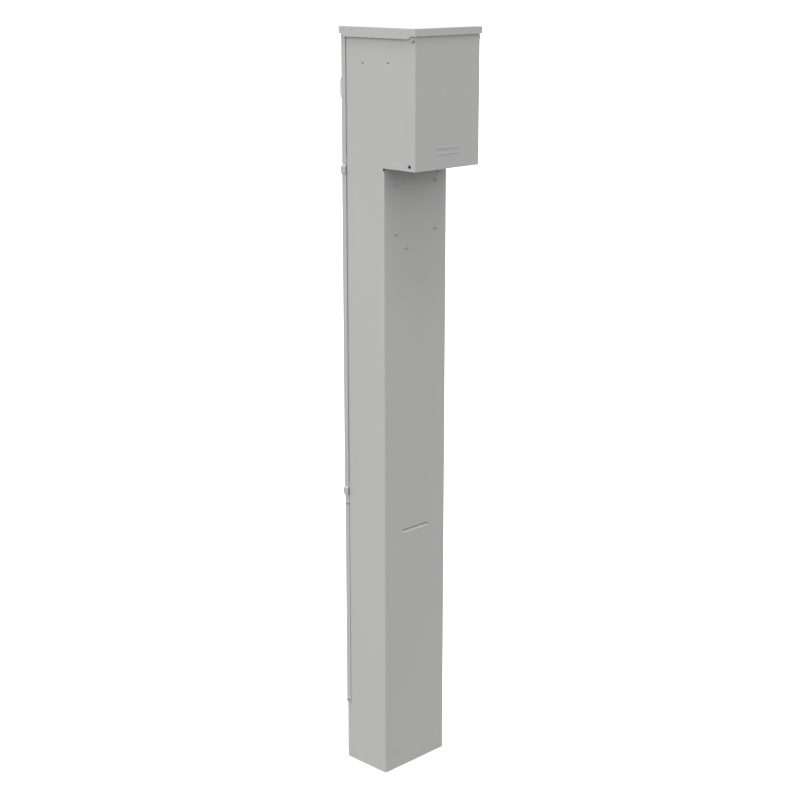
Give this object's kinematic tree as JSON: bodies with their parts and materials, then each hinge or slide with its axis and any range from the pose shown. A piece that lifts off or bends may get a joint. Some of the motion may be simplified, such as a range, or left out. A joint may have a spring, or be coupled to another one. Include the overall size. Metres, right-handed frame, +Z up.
{
  "type": "metered electric vehicle charging post",
  "caption": "Folded steel charging post with an overhanging head, flip-up cover over sockets and breakers, and a round meter on its back.",
  "frame": {"origin": "on the ground, at the middle of the post's own footprint, below the side walls", "axes": "+Z up, front of the flip cover towards -Y, +X to the right for someone who faces the flip cover"},
  "size_m": [0.2326, 0.3086, 1.9125],
  "materials": {
    "shell_paint": "textured light grey powder coat",
    "zinc": "zinc plated, slightly green",
    "badge": "blank badge, satin",
    "inner_steel": "smooth white-grey enamel",
    "black_plastic": "moulded black thermoset",
    "lever": "glossy black",
    "outlet_grey": "moulded light grey",
    "button_black": "black",
    "button_red": "red",
    "rubber": "black rubber",
    "nylon": "natural nylon",
    "glass": "clear moulded glass, faint blue",
    "meter_white": "off-white",
    "meter_grey": "grey moulding",
    "display": "liquid crystal",
    "copper": "tinned copper and brass",
    "aluminium": "extruded aluminium"
  },
  "bodies": {
    "post": {"left_side_panel": "shell_paint", "right_side_panel": "shell_paint", "front_panel": "shell_paint", "base_frame": "shell_paint", "head_floor": "shell_paint", "top_cap": "shell_paint", "cap_rails": "shell_paint", "upper_cover": "shell_paint", "middle_cover": "shell_paint", "lower_cover": "shell_paint", "head_bolts": "zinc", "bracket_screws": "zinc", "cover_screws": "zinc", "pivot_screws": "zinc", "head_nuts": "zinc", "pivot_nuts": "zinc", "ground_screws": "zinc", "dead_front_screws": "zinc", "outlet_screws": "zinc", "cap_rivets": "zinc", "load_studs": "zinc", "lug_screws": "zinc", "dead_front": "inner_steel", "dead_front_rails": "inner_steel", "interior_pan": "inner_steel", "lug_bracket": "inner_steel", "main_breaker": "black_plastic", "small_breaker": "black_plastic", "vehicle_outlet": "black_plastic", "meter_base": "black_plastic", "meter_blocks": "black_plastic", "lug_block": "black_plastic", "bus_insulator": "black_plastic", "service_outlet": "outlet_grey", "cover_bumpers": "rubber", "cord_bushings": "rubber", "meter_gasket": "rubber", "pivot_washers": "nylon", "meter_glass": "glass", "meter_dial": "meter_white", "meter_module": "meter_grey", "meter_display": "display", "load_bus": "copper", "meter_blades": "copper", "vehicle_contacts": "copper", "service_contacts": "copper", "line_lugs": "aluminium", "neutral_lug": "aluminium", "line_straps": "aluminium", "meter_jaws": "aluminium", "ground_bar": "aluminium"},
    "flip_cover": {"flip_cover": "shell_paint", "cover_stiffener": "shell_paint", "stiffener_rivets": "zinc", "blank_badge": "badge"},
    "main_lever": {"main_lever": "lever"},
    "small_lever": {"small_lever": "lever"},
    "test_button": {"test_button": "button_black"},
    "reset_button": {"reset_button": "button_red"}
  },
  "joints": [
    {"name": "flip_cover_hinge", "type": "hinge", "parent": "post", "child": "flip_cover", "pos_m": [0, -0.16755, 1.8868], "axis": [-1, 0, 0], "range_deg": [0, 85]},
    {"name": "main_lever_tilt", "type": "hinge", "parent": "post", "child": "main_lever", "pos_m": [-0.045, -0.09425, 1.828], "axis": [1, 0, 0], "range_deg": [0, 40]},
    {"name": "small_lever_tilt", "type": "hinge", "parent": "post", "child": "small_lever", "pos_m": [0.045, -0.09425, 1.828], "axis": [1, 0, 0], "range_deg": [0, 40]},
    {"name": "test_button_press", "type": "slide", "parent": "post", "child": "test_button", "axis": [0, 1, 0], "range_m": [0, 0.001], "stiffness_N_per_m": 800},
    {"name": "reset_button_press", "type": "slide", "parent": "post", "child": "reset_button", "axis": [0, 1, 0], "range_m": [0, 0.001], "stiffness_N_per_m": 800}
  ]
}
